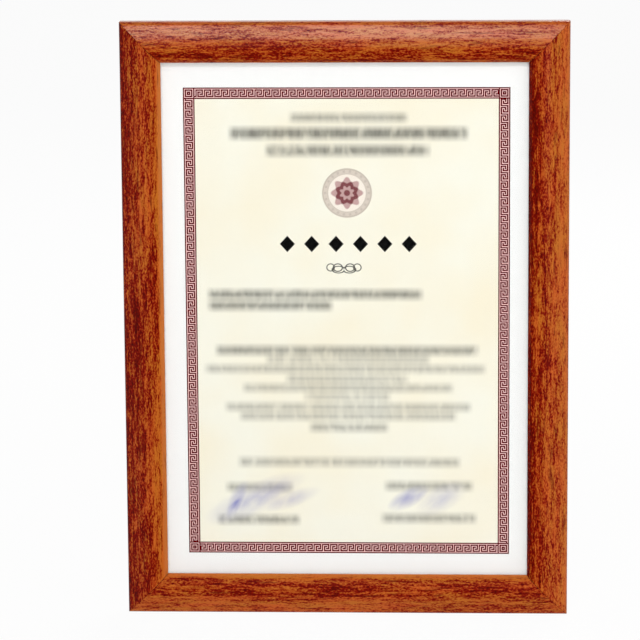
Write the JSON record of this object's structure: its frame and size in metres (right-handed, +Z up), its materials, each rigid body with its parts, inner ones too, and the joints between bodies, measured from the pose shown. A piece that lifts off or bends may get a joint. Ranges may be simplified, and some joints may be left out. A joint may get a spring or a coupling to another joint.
{
  "type": "certificate frame",
  "caption": "Upright wall-hung wooden certificate frame with mitred cushion moulding, glazed sheet, back board held by turn buttons, sawtooth hanger and wall bumpers.",
  "frame": {"origin": "the point on the wall where the nail stands, level with the centre notch of the hanger", "axes": "+Z up, +Y into the wall, so that the front faces -Y; +X to the right seen from the front"},
  "size_m": [0.247, 0.0163, 0.334],
  "materials": {
    "frame_wood": "satin",
    "clear_glass": "gloss",
    "certificate_paper": "matte",
    "filler_card": "matte",
    "hardboard": "matte",
    "button_steel": "satin",
    "screw_steel": "satin",
    "hanger_brass": "satin",
    "nail_steel": "satin",
    "bumper_rubber": "matte"
  },
  "bodies": {
    "frame": {"rail_top": "frame_wood", "rail_bottom": "frame_wood", "rail_left": "frame_wood", "rail_right": "frame_wood", "corner_nails_top_left": "nail_steel", "corner_nails_top_right": "nail_steel", "corner_nails_bottom_left": "nail_steel", "corner_nails_bottom_right": "nail_steel", "glass_pane": "clear_glass", "certificate_sheet": "certificate_paper", "filler_card": "filler_card", "back_board": "hardboard", "button_screws_top": "screw_steel", "button_screws_bottom": "screw_steel", "button_screws_left": "screw_steel", "button_screws_right": "screw_steel", "sawtooth_hanger": "hanger_brass", "hanger_nails": "nail_steel", "wall_bumper_left": "bumper_rubber", "wall_bumper_right": "bumper_rubber"},
    "turn_button_top_left": {"turn_button_top_left": "button_steel"},
    "turn_button_top_right": {"turn_button_top_right": "button_steel"},
    "turn_button_bottom_left": {"turn_button_bottom_left": "button_steel"},
    "turn_button_bottom_right": {"turn_button_bottom_right": "button_steel"},
    "turn_button_left_upper": {"turn_button_left_upper": "button_steel"},
    "turn_button_left_lower": {"turn_button_left_lower": "button_steel"},
    "turn_button_right_upper": {"turn_button_right_upper": "button_steel"},
    "turn_button_right_lower": {"turn_button_right_lower": "button_steel"}
  },
  "joints": [
    {"name": "top_left_turn", "type": "hinge", "parent": "frame", "child": "turn_button_top_left", "pos_m": [-0.065, -0.00295, 0.00265], "axis": [0, 1, 0], "continuous": true},
    {"name": "top_right_turn", "type": "hinge", "parent": "frame", "child": "turn_button_top_right", "pos_m": [0.065, -0.00295, 0.00265], "axis": [0, 1, 0], "continuous": true},
    {"name": "bottom_left_turn", "type": "hinge", "parent": "frame", "child": "turn_button_bottom_left", "pos_m": [-0.065, -0.00295, -0.31235], "axis": [0, 1, 0], "continuous": true},
    {"name": "bottom_right_turn", "type": "hinge", "parent": "frame", "child": "turn_button_bottom_right", "pos_m": [0.065, -0.00295, -0.31235], "axis": [0, 1, 0], "continuous": true},
    {"name": "left_upper_turn", "type": "hinge", "parent": "frame", "child": "turn_button_left_upper", "pos_m": [-0.114, -0.00295, -0.08035], "axis": [0, 1, 0], "continuous": true},
    {"name": "left_lower_turn", "type": "hinge", "parent": "frame", "child": "turn_button_left_lower", "pos_m": [-0.114, -0.00295, -0.22935], "axis": [0, 1, 0], "continuous": true},
    {"name": "right_upper_turn", "type": "hinge", "parent": "frame", "child": "turn_button_right_upper", "pos_m": [0.114, -0.00295, -0.08035], "axis": [0, 1, 0], "continuous": true},
    {"name": "right_lower_turn", "type": "hinge", "parent": "frame", "child": "turn_button_right_lower", "pos_m": [0.114, -0.00295, -0.22935], "axis": [0, 1, 0], "continuous": true}
  ]
}
